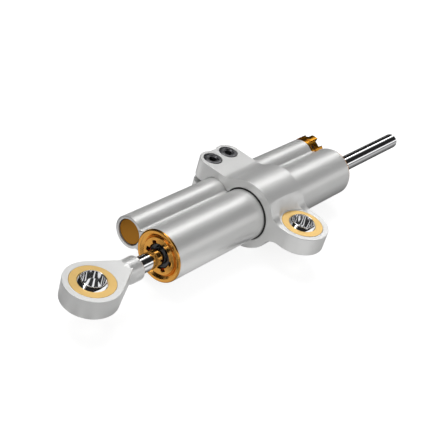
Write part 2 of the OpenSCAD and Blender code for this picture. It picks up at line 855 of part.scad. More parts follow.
// Clamp: its section across the cylinder, cut to its outline seen from above
clamp_x0 = front_x + clamp_set;
clamp_x1 = clamp_x0 + clamp_w;
clamp_mid_x = (clamp_x0 + clamp_x1) / 2;
side_room = 0.1;
liner_room = 0.06;
liner_r0 = tube_r + liner_room;
liner_r1 = liner_r0 + liner_w;
clamp_bore_r = liner_r1 + seat_fit;
clamp_r = clamp_bore_r + clamp_wall;
ear_y = -(clamp_bore_r + ear_wall + race_r);
ear_top = ear_rise + race_w / 2;
ear_low = ear_rise - race_w / 2;
ear_r = clamp_w / 2;
screw_r = screw_d / 2;
screw_y = tube_pitch + side_r + side_room + screw_wall + screw_r;
lobe_r = ear_r - screw_pitch / 2;
lobe_share = 0.85;
jaw_end = screw_y + lobe_r;
screw_x = [clamp_mid_x - screw_pitch / 2, clamp_mid_x + screw_pitch / 2];
slit_top = slit_rise + slit_w / 2;
slit_low = slit_rise - slit_w / 2;
ear_relief = 2;
head_room = 0.25;
shank_room = 0.15;
screw_end_room = 0.5;
head_edge = 0.4;

// Fillets between the round body and the level faces: level above the axis,
// radius, -1 towards the ear or 1 towards the jaws, and 1 above or -1 below.
corners = [[ear_top, ear_fillet_top, -1, 1], [-ear_low, ear_fillet_low, -1, -1],
           [block_top, block_fillet_top, 1, 1], [block_low, block_fillet_low, 1, -1]];
function corner_centre(c) =
    let (rise = c[0] - blend + c[1])
    [c[2] * sqrt(pow(clamp_r - blend + c[1], 2) - rise * rise), c[3] * rise];
module clamp_section() {
    difference() {
        union() {
            bar(clamp_x0, clamp_x1, clamp_r);
            translate([clamp_x0, ear_y - ear_r, ear_low])
                cube([clamp_w, ear_r - ear_y, race_w]);
            translate([clamp_x0, 0, -block_low])
                cube([clamp_w, jaw_end, block_low + block_top]);
            for (c = corners)
                along_x(clamp_x0, clamp_x1)
                    polygon([[0, 0], corner_centre(c), [corner_centre(c)[0], 0]]);
        }
        for (c = corners)
            translate([0, corner_centre(c)[0], corner_centre(c)[1]])
                bar(clamp_x0 - past, clamp_x1 + past, c[1]);
    }
}
module clamp_outline() {
    translate([clamp_mid_x, ear_y])
        circle(r = ear_r);
    translate([clamp_x0, ear_y])
        square([clamp_w, screw_y - lobe_set - ear_y]);
    translate([screw_x[0], screw_y - lobe_set])
        square([screw_pitch, lobe_r * lobe_share]);
    for (x = screw_x)
        translate([x, screw_y - lobe_set])
            circle(r = lobe_r);
}
module clamp() {
    head_seat_z = block_top - head_h;
    pocket_r = race_r + pocket_margin;
    color("silver")
        difference() {
            intersection() {
                clamp_section();
                translate([0, 0, -clamp_r - past])
                    linear_extrude(2 * (clamp_r + past))
                        clamp_outline();
            }
            along_x(clamp_x0 - past, clamp_x1 + past)
                twin_profile(clamp_bore_r - tube_r, side_room);
            translate([clamp_x0 - past, tube_pitch, slit_low])
                cube([clamp_w + 2 * past, jaw_end, slit_w]);
            translate([clamp_mid_x, ear_y, ear_low - seat_fit])
                cylinder(h = race_w + 2 * seat_fit, r = race_r + seat_fit);
            translate([clamp_mid_x, ear_y - pocket_set, ear_top])
                cylinder(h = clamp_r, r1 = pocket_r, r2 = pocket_r + pocket_lean * clamp_r);
            translate([clamp_mid_x, ear_y, ear_low - clamp_r])
                cylinder(h = clamp_r, r = sleeve_r + ear_relief);
            for (x = screw_x)
                translate([x, screw_y, 0]) {
                    translate([0, 0, head_seat_z])
                        cylinder(h = head_h + past, r = head_d / 2 + head_room);
                    translate([0, 0, slit_rise])
                        cylinder(h = block_top, r = screw_r + shank_room);
                    translate([0, 0, head_seat_z - screw_len - screw_end_room])
                        cylinder(h = screw_len, r = screw_r + seat_fit);
                }
        }
}
module clamp_liner() {
    reach = 2 * clamp_r;
    color("#18181a")
        difference() {
            ring(clamp_x0 - liner_lip, clamp_x1 + liner_lip, liner_r0, liner_r1);
            along_x(clamp_x0 - past, clamp_x1 + past)
                polygon([[0, 0], reach * [cos(web_angle), sin(web_angle)], [reach, 0],
                         reach * [cos(web_angle), -sin(web_angle)]]);
        }
}
module clamp_screws() {
    head_seat_z = block_top - head_h + seat_fit;
    head_r = head_d / 2;
    hex_r = hex_w / 2 / cos(30);
    tip_z = head_seat_z - screw_len;
    color("#55565a")
        for (x = screw_x)
            translate([x, screw_y, 0])
                difference() {
                    rotate_extrude()
                        polygon([[0, tip_z], [screw_r - head_edge, tip_z], [screw_r, tip_z + head_edge],
                                 [screw_r, head_seat_z], [head_r, head_seat_z],
                                 [head_r, head_seat_z + head_h - head_edge],
                                 [head_r - head_edge, head_seat_z + head_h], [0, head_seat_z + head_h]]);
                    translate([0, 0, head_seat_z + head_h - hex_depth])
                        cylinder(h = hex_depth + past, r = hex_r, $fn = 6);
                }
}
module on_ear() {
    translate([clamp_mid_x, ear_y, ear_rise])
        children();
}
module clamp_race() {
    color("#e8c070")
        on_ear() race();
}
module clamp_ball() {
    color("whitesmoke")
        on_ear() ball();
}
module clamp_sleeve() {
    color("lightgray")
        on_ear() sleeve();
}

body_extrusion();
front_cap();
front_guide_bush();
front_rod_seal();
front_seal_washer();
front_wiper();
front_cap_oring();
rear_cap();
rear_guide_bush();
rear_rod_seal();
rear_seal_washer();
rear_wiper();
rear_cap_oring();
side_plug();
side_plug_ring();
side_plug_oring();
reservoir_spring();
floating_piston();
floating_piston_oring();
valve_cartridge();
valve_cartridge_oring();
detent_spring();
detent_ball();
metering_shaft();
adjuster_knob();
knob_grub_screw();
piston_rod();
piston();
piston_band();
piston_clips();
rod_end();
rod_end_race();
rod_end_ball();
rod_end_sleeve();
clamp();
clamp_liner();
clamp_screws();
clamp_race();
clamp_ball();
clamp_sleeve();
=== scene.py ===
import math
import bmesh
import bpy
from mathutils import Matrix, Vector


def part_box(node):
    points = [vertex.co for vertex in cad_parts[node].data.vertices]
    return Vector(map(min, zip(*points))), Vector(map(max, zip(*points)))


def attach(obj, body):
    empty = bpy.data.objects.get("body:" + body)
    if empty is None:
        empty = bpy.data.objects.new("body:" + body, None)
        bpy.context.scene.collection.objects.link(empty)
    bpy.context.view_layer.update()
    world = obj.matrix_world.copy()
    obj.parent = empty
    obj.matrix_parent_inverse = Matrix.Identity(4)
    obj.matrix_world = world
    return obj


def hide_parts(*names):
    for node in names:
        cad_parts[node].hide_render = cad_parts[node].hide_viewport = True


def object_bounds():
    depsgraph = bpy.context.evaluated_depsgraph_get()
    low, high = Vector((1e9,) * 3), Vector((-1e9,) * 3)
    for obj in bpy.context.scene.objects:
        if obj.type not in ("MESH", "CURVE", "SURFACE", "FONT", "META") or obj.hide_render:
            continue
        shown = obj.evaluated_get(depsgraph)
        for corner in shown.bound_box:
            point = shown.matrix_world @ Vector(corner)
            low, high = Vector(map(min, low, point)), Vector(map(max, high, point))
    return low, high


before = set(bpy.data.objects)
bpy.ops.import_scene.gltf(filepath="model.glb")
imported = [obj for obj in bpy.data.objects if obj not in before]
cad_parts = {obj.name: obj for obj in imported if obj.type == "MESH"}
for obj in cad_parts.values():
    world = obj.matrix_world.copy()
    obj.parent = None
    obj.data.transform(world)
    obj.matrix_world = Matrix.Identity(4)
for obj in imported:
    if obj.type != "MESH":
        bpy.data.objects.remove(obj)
cad_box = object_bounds()
MM = 0.001


# Camera: it looks down at the damper from the rod end's side and is rolled,
# so that the cylinder runs up to the right as in the photograph.
aim = Vector((0.0685, 0.0011, 0))
distance = 0.3751
azimuth = math.radians(-59.15)
elevation = math.radians(34.49)
roll = math.radians(17.15)
back = Vector((math.sin(azimuth) * math.cos(elevation),
               -math.cos(azimuth) * math.cos(elevation), math.sin(elevation)))
camera = bpy.data.objects.new("camera", bpy.data.cameras.new("camera"))
camera.data.lens = 81.45
camera.data.clip_start = 0.01
camera.location = aim + distance * back
camera.rotation_mode = "QUATERNION"
camera.rotation_quaternion = (
    (-back).to_track_quat("-Z", "Y").to_matrix() @ Matrix.Rotation(roll, 3, "Z")).to_quaternion()
bpy.context.scene.collection.objects.link(camera)
bpy.context.scene.camera = camera
bpy.context.scene.view_settings.view_transform = "Standard"


# Studio: a white floor and sky, with two long strip lights and black flags
# above the tubes. Polished metal shows the strips and flags as clean stripes.
# In the floor it mirrors painted shade beneath and behind the tubes, and
# painted reflection bars below the bearings.
class Wire:
    """A value in a shader tree. Python's operators on it add Math nodes."""

    def __init__(self, tree, socket):
        self.tree = tree
        self.socket = socket

    def maths(self, operation, *values):
        node = self.tree.nodes.new("ShaderNodeMath")
        node.operation = operation
        for place, value in zip(node.inputs, values):
            if isinstance(value, Wire):
                self.tree.links.new(value.socket, place)
            else:
                place.default_value = value
        return Wire(self.tree, node.outputs[0])

    def __add__(self, other):
        return self.maths("ADD", self, other)

    def __radd__(self, other):
        return self.maths("ADD", other, self)

    def __sub__(self, other):
        return self.maths("SUBTRACT", self, other)

    def __rsub__(self, other):
        return self.maths("SUBTRACT", other, self)

    def __mul__(self, other):
        return self.maths("MULTIPLY", self, other)

    def __rmul__(self, other):
        return self.maths("MULTIPLY", other, self)

    def most(self, other):
        return self.maths("MAXIMUM", self, other)

    def least(self, other):
        return self.maths("MINIMUM", self, other)

    def root(self):
        return self.maths("SQRT", self)

    def sine(self):
        return self.maths("SINE", self)

    def within(self, low, high):
        """Rises from 0 to 1 as the value goes from low to high."""
        share = (self - low) * (1 / (high - low))
        return share.most(0.0).least(1.0)

    def of(self, output):
        """Another output of the node that the value comes from."""
        return Wire(self.tree, self.socket.node.outputs[output])


class Shader:
    """The shader tree of a material or of the world, emptied."""

    def __init__(self, owner):
        owner.use_nodes = True
        self.tree = owner.node_tree
        self.tree.nodes.clear()

    def feed(self, place, value):
        if isinstance(value, Wire):
            self.tree.links.new(value.socket, place)
        elif place.type == "RGBA":
            place.default_value = (*value, 1)
        else:
            place.default_value = value

    def node(self, kind, settings, sockets, output=0):
        """Makes one node, with its settings and what its sockets are fed."""
        made = self.tree.nodes.new(kind)
        for name, value in settings.items():
            setattr(made, name, value)
        for name, value in sockets.items():
            self.feed(made.inputs[name], value)
        return Wire(self.tree, made.outputs[output]) if made.outputs else None


def glow(name, strength):
    """A plain white light of one strength."""
    material = bpy.data.materials.new(name)
    shader = Shader(material)
    light = shader.node("ShaderNodeEmission", {}, {"Color": (1, 1, 1), "Strength": strength})
    shader.node("ShaderNodeOutputMaterial", {}, {"Surface": light})
    return material


def strip(name, first, last, strength, reach=600, length=3200):
    """A long band round the cylinder's axis that only reflections see. Its
    angles are in degrees from straight above, towards the clamp's ear."""
    steps = 12
    angles = [math.radians(first + (last - first) * i / steps) for i in range(steps + 1)]
    points = [(x, -reach * math.sin(a), reach * math.cos(a)) for a in angles
              for x in (-length / 2, length / 2)]
    faces = [(2 * i, 2 * i + 1, 2 * i + 3, 2 * i + 2) for i in range(steps)]
    mesh = bpy.data.meshes.new(name)
    mesh.from_pydata([Vector(p) * MM for p in points], [], faces)
    mesh.materials.append(glow(name, strength))
    band = bpy.data.objects.new(name, mesh)
    bpy.context.scene.collection.objects.link(band)
    band.visible_camera = False
    band.visible_diffuse = False
    band.visible_shadow = False
    band.visible_transmission = False


strip("flag_behind", -88, -30, 0.02)
strip("strip_over", -30, -17, 3.0)
strip("strip_fade", -17, -2, 0.25)
strip("flag_over", -2, 57, 0.02)
strip("strip_front", 57, 76, 1.1)
strip("flag_low", 76, 91, 0.2)

world = bpy.data.worlds.new("studio")
bpy.context.scene.world = world
sky = Shader(world)
to_camera = sky.node("ShaderNodeLightPath", {}, {}, "Is Camera Ray")
to_mirror = sky.node("ShaderNodeLightPath", {}, {}, "Is Glossy Ray")
to_glass = sky.node("ShaderNodeLightPath", {}, {}, "Is Transmission Ray")
seen = to_camera.most(to_mirror).most(to_glass)
fill = sky.node("ShaderNodeBackground", {}, {"Color": (1, 1, 1), "Strength": 0.55})
white = sky.node("ShaderNodeBackground", {}, {"Color": (1, 1, 1), "Strength": 1.0})
mixed = sky.node("ShaderNodeMixShader", {}, {0: seen, 1: fill, 2: white})
sky.node("ShaderNodeOutputWorld", {}, {"Surface": mixed})

floor_z = cad_box[0].z
half = 3.0
floor_mesh = bpy.data.meshes.new("floor")
floor_mesh.from_pydata([(-half, -half, floor_z), (half, -half, floor_z), (half, half, floor_z),
                        (-half, half, floor_z)], [], [(0, 1, 2, 3)])
floor = bpy.data.objects.new("floor", floor_mesh)
bpy.context.scene.collection.objects.link(floor)


def painted_floor_light_share(x, y):
    """How much of the open floor's light metal sees at a spot, as painted shade:
    little right beneath and behind the tubes, where painted shade stands in for
    their shadow, all in front of them and beside their middle."""
    middle_start, middle_end, fade = 0.045, 0.085, 0.012
    front_x, far_y = 0.036, 0.038
    beyond = (middle_start - x).most(x - middle_end)
    middle = 1.0 - beyond.within(0.0, fade)
    before = ((front_x - x) * 7).least((far_y - y) * 5)
    apart = (0.022 * middle - y).most((y - 0.005) * middle).most(before)
    aside = (-1 * x).most((-1 * y).least(beyond))
    return apart.within(0.004, 0.042) * (1.0 - 0.38 * aside.within(0.0, fade))


def floor_distance(x, y, place):
    """Distance along the floor from below a place."""
    across, along = x - place.x, y - place.y
    return (across * across + along * along).root()


paper = bpy.data.materials.new("white_paper")
shader = Shader(paper)
to_camera = shader.node("ShaderNodeLightPath", {}, {}, "Is Camera Ray")
to_mirror = shader.node("ShaderNodeLightPath", {}, {}, "Is Glossy Ray")
matt = shader.node("ShaderNodeBsdfDiffuse", {}, {"Color": (0.25, 0.25, 0.25)})
lift = shader.node("ShaderNodeEmission", {}, {"Color": (1, 1, 1), "Strength": to_camera * 0.82})
lit = shader.node("ShaderNodeAddShader", {}, {0: matt, 1: lift})
place = shader.node("ShaderNodeTexCoord", {}, {}, "Object")
spot = shader.node("ShaderNodeSeparateXYZ", {}, {"Vector": place})
x, y = spot.of("X"), spot.of("Y")
# Painted shade: only mirror rays see these floor colours. They are dark right beneath and behind the
# tubes, where their shadow would fall, and pale elsewhere.
painted_dark = shader.node("ShaderNodeEmission", {}, {"Color": (0.04, 0.04, 0.04)})
far = shader.node("ShaderNodeEmission", {}, {"Color": (0.8, 0.8, 0.8)})
painted_shade_floor = shader.node("ShaderNodeMixShader", {}, {0: painted_floor_light_share(x, y), 1: painted_dark, 2: far})
# Painted reflection: light and dark bars are painted on the floor round each bearing. Only mirror rays see
# them, and they stand in for the striped reflections in the sleeves' bores.
painted_bar_turn, painted_bar_start = 520.0, 1.0
across_painted_bars = y * 0.857 - x * 0.515
painted_reflection_bars = (across_painted_bars * painted_bar_turn + painted_bar_start).sine().within(0.4, 0.6)
painted_bar_light = shader.node("ShaderNodeEmission", {}, {"Color": (1, 1, 1)})
painted_bar_floor = shader.node("ShaderNodeMixShader", {}, {0: painted_reflection_bars, 1: painted_dark, 2: painted_bar_light})
eye_place = Vector((0, 0, 0))
ear_place = (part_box("clamp_race")[0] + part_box("clamp_race")[1]) / 2
close = floor_distance(x, y, eye_place).least(floor_distance(x, y, ear_place))
# Within about 20 mm of a bearing, the mirrored floor shows the painted reflection bars.
mirrored = shader.node("ShaderNodeMixShader", {}, {0: close.within(0.018, 0.021), 1: painted_bar_floor, 2: painted_shade_floor})
total = shader.node("ShaderNodeMixShader", {}, {0: to_mirror, 1: lit, 2: mirrored})
shader.node("ShaderNodeOutputMaterial", {}, {"Surface": total})
floor_mesh.materials.append(paper)


def lamp(name, place, size, power):
    """A square soft box that faces the damper's middle."""
    light = bpy.data.lights.new(name, "AREA")
    light.shape = "SQUARE"
    light.size = size
    light.energy = power
    box = bpy.data.objects.new(name, light)
    box.location = place
    box.rotation_mode = "QUATERNION"
    box.rotation_quaternion = (Vector((0.09, 0, 0)) - box.location).to_track_quat("-Z", "Y")
    box.visible_glossy = False
    box.visible_camera = False
    bpy.context.scene.collection.objects.link(box)


lamp("soft_box_over", (0.2, 0.4, 0.8), 0.7, 8.0)
lamp("soft_box_front", (-0.3, -0.7, 0.5), 0.6, 3.0)


# Twin-tube body: one silver extrusion that is blasted and anodised. The side
# tube holds the reservoir and the valve, and a web with a small fillet on each
# face joins it to the main tube, whose front is set back for the gold cap.
def span(node):
    """A CAD node's lowest and highest corners, in millimetres."""
    lo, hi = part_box(node)
    return lo / MM, hi / MM


def arc(centre, radius, first, last, steps):
    """Points of an arc, with its angles in degrees."""
    return [(centre[0] + radius * math.cos(a), centre[1] + radius * math.sin(a))
            for a in (math.radians(first + (last - first) * i / steps) for i in range(steps + 1))]


def shape(name, points, faces):
    """A closed mesh from points in millimetres, with its faces outwards."""
    mesh = bpy.data.meshes.new(name)
    mesh.from_pydata([Vector(p) * MM for p in points], [], faces)
    work = bmesh.new()
    work.from_mesh(mesh)
    bmesh.ops.recalc_face_normals(work, faces=work.faces)
    work.to_mesh(mesh)
    work.free()
    made = bpy.data.objects.new(name, mesh)
    bpy.context.scene.collection.objects.link(made)
    return made


def prism(name, outline, low, high, axis="X"):
    """An outline pushed along an axis: (y, z) points for X, (x, y) for Z."""
    count = len(outline)
    points = [(h, a, b) if axis == "X" else (a, b, h) for h in (low, high) for a, b in outline]
    sides = [(i, (i + 1) % count, (i + 1) % count + count, i + count) for i in range(count)]
    return shape(name, points, sides + [range(count), range(2 * count - 1, count - 1, -1)])


def eased(outline, steps=5):
    """Rounds an outline's corners, where a third value gives the radius."""
    points = []
    for before, here, after in zip(outline[-1:] + outline[:-1], outline, outline[1:] + outline[:1]):
        corner = Vector(here[:2])
        if len(here) == 2:
            points.append(here)
            continue
        one = (Vector(before[:2]) - corner).normalized()
        two = (Vector(after[:2]) - corner).normalized()
        half = one.angle(two) / 2
        centre = corner + (one + two).normalized() * here[2] / math.sin(half)
        first = corner + one * here[2] / math.tan(half) - centre
        last = corner + two * here[2] / math.tan(half) - centre
        turn = first.angle(last)
        for i in range(steps + 1):
            share = i / steps
            spoke = first * math.sin((1 - share) * turn) + last * math.sin(share * turn)
            points.append(tuple(centre + spoke / math.sin(turn)))
    return points


def turned(name, outline, axis="X", place=(0, 0, 0), steps=128):
    """A closed outline of (radius, along) turned about an axis through place."""
    points = []
    rings = []
    for radius, along in eased(outline):
        count = steps if radius > 1e-6 else 1
        rings.append(range(len(points), len(points) + count))
        for i in range(count):
            angle = 2 * math.pi * i / steps
            across = (radius * math.cos(angle), radius * math.sin(angle))
            spot = (along, *across) if axis == "X" else (*across, along)
            points.append(Vector(spot) + Vector(place))
    faces = []
    for one, two in zip(rings, rings[1:] + rings[:1]):
        if len(one) + len(two) == 2:
            continue
        for i in range(steps):
            j = (i + 1) % steps
            corners = [one[i % len(one)], one[j % len(one)], two[j % len(two)], two[i % len(two)]]
            faces.append(list(dict.fromkeys(corners)))
    return shape(name, points, faces)


def drill(radius, low, high, axis="X", place=(0, 0, 0), steps=128):
    """A plain round bar to cut with."""
    return turned("drill", [(0, low), (radius, low), (radius, high), (0, high)], axis, place, steps)


def settle(piece):
    """Applies a piece's modifiers."""
    graph = bpy.context.evaluated_depsgraph_get()
    mesh = bpy.data.meshes.new_from_object(piece.evaluated_get(graph))
    piece.modifiers.clear()
    piece.data = mesh


def join(piece, *tools, operation="UNION"):
    """Adds, cuts away or keeps what the tools cover, and removes them."""
    for tool in tools:
        step = piece.modifiers.new("join", "BOOLEAN")
        step.operation = operation
        step.solver = "EXACT"
        step.object = tool
        settle(piece)
        bpy.data.objects.remove(tool)


def cut(piece, *tools):
    """Takes the tools away from a piece."""
    join(piece, *tools, operation="DIFFERENCE")


def soften(piece, width=0, steps=3, angle=32):
    """Rounds a piece's sharp edges, if wanted, and shades it smooth."""
    if width:
        weld = piece.modifiers.new("weld", "WELD")
        weld.merge_threshold = 0.01 * MM
        bevel = piece.modifiers.new("bevel", "BEVEL")
        bevel.width = width * MM
        bevel.segments = steps
        bevel.angle_limit = math.radians(angle)
        bevel.use_clamp_overlap = False
        bevel.miter_outer = "MITER_ARC"
        settle(piece)
    piece.data.shade_smooth()
    piece.data.set_sharp_from_angle(angle=math.radians(angle))
    normals = piece.modifiers.new("normals", "WEIGHTED_NORMAL")
    normals.keep_sharp = True


def finish_of(name, colour, metallic, roughness, fleck=0.05, cloud=0.04, grain=0.12, depth=0.004,
              edge=(1, 1, 1)):
    """A metal or plastic whose colour and gloss drift a little. fleck is how much
    they follow a fine grain, and cloud how much they follow patches of about 7 mm.
    grain is the grain's size and depth its height, in mm, and edge tints what a
    metal mirrors at a shallow angle."""
    material = bpy.data.materials.new(name)
    shader = Shader(material)
    place = shader.node("ShaderNodeTexCoord", {}, {}, "Object")
    fine = shader.node("ShaderNodeTexNoise", {}, {
        "Vector": place, "Scale": 1 / (grain * MM), "Detail": 3.0})
    broad = shader.node("ShaderNodeTexNoise", {}, {"Vector": place, "Scale": 140.0, "Detail": 4.0})
    drift = (fine - 0.5) * fleck + (broad - 0.5) * cloud
    tone = shader.node("ShaderNodeMix", {"data_type": "RGBA", "blend_type": "MIX"}, {
        "Factor": drift * 5 + 0.5}, 2)
    # The Mix node's colour inputs share their names with others, so they go by number.
    mix = tone.socket.node
    shader.feed(mix.inputs[6], tuple(c * 0.9 for c in colour))
    shader.feed(mix.inputs[7], tuple(min(1, c * 1.1) for c in colour))
    bump = shader.node("ShaderNodeBump", {}, {"Height": fine, "Distance": depth * MM, "Strength": 1.0})
    surface = shader.node("ShaderNodeBsdfPrincipled", {}, {
        "Base Color": tone, "Metallic": metallic, "Roughness": roughness + drift * 0.6, "Normal": bump,
        "Specular Tint": edge})
    shader.node("ShaderNodeOutputMaterial", {}, {"Surface": surface})
    return material


def dress(piece, finish, body, slot, *stood_for):
    """Gives a new piece its finish, puts it on its body and hides the CAD nodes
    that it stands for. The slot is not used."""
    piece.data.materials.clear()
    piece.data.materials.append(finish)
    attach(piece, body)
    if stood_for:
        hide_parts(*stood_for)


def coat(finish, *nodes):
    """Gives CAD nodes, whose shape is kept, their finish."""
    for name in nodes:
        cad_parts[name].data.materials.clear()
        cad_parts[name].data.materials.append(finish)


silver = finish_of("silver_anodised", (0.81, 0.81, 0.80), 0.78, 0.42)
body_lo, body_hi = span("body_extrusion")
plug_lo, plug_hi = span("side_plug")
front_x = span("front_cap")[0].x
rear_x = span("rear_cap")[1].x
tube_r = body_hi.z
side_y = (plug_lo.y + plug_hi.y) / 2
side_r = body_hi.y - side_y
side_x0 = body_lo.x
front_flange_w = 0.7
tube_x0 = front_x + front_flange_w
tube_x1 = body_hi.x
side_x1 = rear_x - 2
bore_r = 8.0
plug_seat_r = 5.1
plug_seat_depth = 5.6
side_bore_r = 4.6
valley_r = 1.65
knob_room_r = 6.7
# over is how far a cutting tool passes a face, hair keeps two faces from lying in
# each other, fit is the gap round what is pressed in and play round what slides.
over = 1
hair = 0.002
fit = 0.02
play = 0.04


def twin(main, side, round_r):
    """Outline of two rounds with a fillet in the valley on each face."""
    one, two = main + round_r, side + round_r
    y = (side_y ** 2 + one ** 2 - two ** 2) / (2 * side_y)
    valley = (y, math.sqrt(one ** 2 - y ** 2))
    first = math.degrees(math.atan2(valley[1], y))
    last = math.degrees(math.atan2(valley[1], y - side_y))
    upper = (arc((0, 0), main, 180, first, 80) + arc(valley, round_r, first + 180, last + 180, 14)
             + arc((side_y, 0), side, last, 0, 48))
    return upper + [(y, -z) for y, z in upper[-2:0:-1]]


# The side tube and the web begin further back than the main tube.
body = prism("twin_tube", twin(tube_r, side_r, valley_r), tube_x0, tube_x1)
on_side = (0, side_y, 0)
front_room = drill(side_r + 3, tube_x0 - over, side_x0, place=on_side)
cut(front_room, drill(tube_r + hair, tube_x0 - 2 * over, side_x0 + over))
cut(body, front_room,
    drill(bore_r, tube_x0 - over, tube_x1 + over),
    drill(plug_seat_r, side_x0 - over, side_x0 + plug_seat_depth, place=on_side),
    drill(side_bore_r, side_x0 - over, tube_x1 + over, place=on_side),
    drill(knob_room_r, side_x1, tube_x1 + over, place=on_side))
soften(body, 0.12)
dress(body, silver, "cylinder", "anodised_silver", "body_extrusion")


# Seals inside the cylinder: rubber lips on the rod behind each cap, a steel
# washer that backs each one, and O-rings that close the caps and the plug.
rubber = finish_of("seal_rubber", (0.018, 0.018, 0.02), 0.0, 0.45, fleck=0.1, depth=0.006)
steel = finish_of("plain_steel", (0.50, 0.50, 0.51), 1.0, 0.3)
coat(rubber, "front_rod_seal", "rear_rod_seal", "front_cap_oring", "rear_cap_oring",
     "side_plug_oring", "floating_piston_oring", "valve_cartridge_oring")
coat(steel, "front_seal_washer", "rear_seal_washer")


# End caps: turned from aluminium and anodised gold. The front one has a
# rounded flange, a groove round its face and four slots for the peg spanner
# that turns it. The rear one shows only as a thin line at the tube's end.
gold = finish_of("gold_anodised", (0.78, 0.38, 0.085), 1.0, 0.22, fleck=0.04, edge=(0.9, 0.65, 0.35))
face_depth = 0.3
face_r = 7.0
groove_depth = 1.0
groove_r = 7.3
rim_r = 8.6
recess_r = 4.8
recess_depth = 0.8
wiper_w = 2.5
slot_angles = (-2, 52, 178, 232)
slot_start = 3.0
slot_reach = 5.9
slot_w = 1.8
slot_depth = 2.2
cap_len = 19
bush_r = 4.6
bush_end = 15.7
seal_room_r = 5.5
rear_flange_w = 0.9
rear_flange_drop = 0.25


def gland_cap(name, flange_w, flange_r):
    """A cap whose outer face is at 0 and whose body runs towards +X."""
    wiper_end = recess_depth + wiper_w
    cap = turned(name, [
        (recess_r, face_depth, 0.1), (face_r, face_depth, 0.15), (groove_r, groove_depth, 0.15),
        (rim_r, 0, 0.5), (flange_r, 0, 0.6), (flange_r, flange_w), (bore_r - fit, flange_w),
        (bore_r - fit, cap_len), (seal_room_r, cap_len), (seal_room_r, bush_end),
        (bush_r, bush_end), (bush_r, wiper_end), (recess_r, wiper_end)])
    for angle in slot_angles:
        y0, y1, z = slot_start, slot_reach, slot_w / 2
        slot = prism("slot", eased([(y0, -z), (y1, -z, 0.35), (y1, z, 0.35), (y0, z)], 3),
                     -over, face_depth + slot_depth)
        slot.data.transform(Matrix.Rotation(math.radians(angle), 4, "X"))
        cut(cap, slot)
    return cap


front_cap = gland_cap("front_cap_gold", front_flange_w, tube_r)
front_cap.data.transform(Matrix.Translation((front_x * MM, 0, 0)))
soften(front_cap, 0.1, 2)
dress(front_cap, gold, "cylinder", "anodised_gold", "front_cap")
rear_cap = gland_cap("rear_cap_gold", rear_flange_w, tube_r - rear_flange_drop)
rear_cap.data.transform(Matrix.Translation((rear_x * MM, 0, 0)) @ Matrix.Rotation(math.pi, 4, "Z"))
cut(rear_cap, drill(knob_room_r, side_x1, rear_x + over, place=on_side))
soften(rear_cap, 0.1, 2)
dress(rear_cap, gold, "cylinder", "anodised_gold", "rear_cap")


# Rod bushes and wipers: in each cap a bronze bush guides the rod, behind the
# glossy black wiper ring that is sunk just below the face and keeps dirt away.
bronze = finish_of("bush_bronze", (0.62, 0.33, 0.13), 1.0, 0.3)
gloss_rubber = finish_of("wiper_rubber", (0.006, 0.006, 0.007), 0.0, 0.12, fleck=0.03)
rod_r = 3.2
lip_rise = 0.35
lip_w = 0.5
wiper_end = recess_depth + wiper_w
for side in ("front", "rear"):
    if side == "rear":
        turn = Matrix.Translation((rear_x * MM, 0, 0)) @ Matrix.Rotation(math.pi, 4, "Z")
    else:
        turn = Matrix.Translation((front_x * MM, 0, 0))
    bush = turned(side + "_bush", [
        (rod_r + play, wiper_end + fit, 0.2), (bush_r - fit, wiper_end + fit, 0.2),
        (bush_r - fit, bush_end - fit, 0.2), (rod_r + play, bush_end - fit, 0.2)])
    bush.data.transform(turn)
    soften(bush)
    dress(bush, bronze, "cylinder", "bush_bronze", side + "_guide_bush")
    wiper = turned(side + "_wiper_ring", [
        (rod_r + play, recess_depth + lip_rise, 0.1), (recess_r - lip_w, recess_depth, 0.2),
        (recess_r - fit, recess_depth + lip_rise, 0.15), (recess_r - fit, wiper_end - fit),
        (rod_r + play, wiper_end - fit)])
    wiper.data.transform(turn)
    soften(wiper)
    dress(wiper, gloss_rubber, "cylinder", "seal_rubber", side + "_wiper")


# Front plug of the side tube: a flat amber disc of anodised aluminium that
# closes the reservoir. A thin black snap ring in the tube's seat holds it.
amber = finish_of("amber_anodised", (0.41, 0.17, 0.012), 0.9, 0.42, fleck=0.08)
black_steel = finish_of("black_steel", (0.012, 0.011, 0.011), 0.6, 0.4)
plug_ring_w = 0.35
plug_face_r = plug_seat_r - plug_ring_w
plug_x0 = plug_lo.x
step_x = plug_x0 + 1.3
nose_x = plug_hi.x - 1.4
nose_r = 2.45
ring_drop = 0.35
ring_x = plug_x0 + ring_drop
plug = turned("side_plug_amber", [
    (0, plug_x0), (plug_face_r, plug_x0, 0.12), (plug_face_r, step_x),
    (plug_seat_r - fit, step_x), (plug_seat_r - fit, nose_x),
    (nose_r, nose_x), (nose_r, plug_hi.x), (0, plug_hi.x)], place=on_side)
soften(plug)
dress(plug, amber, "cylinder", "anodised_amber", "side_plug")
snap_ring = turned("side_plug_snap_ring", [
    (plug_face_r + fit, ring_x, 0.1), (plug_seat_r - fit, ring_x, 0.1),
    (plug_seat_r - fit, step_x - fit), (plug_face_r + fit, step_x - fit)], place=on_side)
soften(snap_ring)
dress(snap_ring, black_steel, "cylinder", "black_steel", "side_plug_ring")


# Reservoir and valve inside the side tube: a wire spring and the floating
# piston, then the valve's cartridge with its metering shaft, click ball and spring.
plain_metal = finish_of("plain_aluminium", (0.75, 0.75, 0.74), 1.0, 0.32)
coat(steel, "reservoir_spring", "detent_spring", "detent_ball", "metering_shaft")
coat(plain_metal, "floating_piston")
coat(bronze, "valve_cartridge")


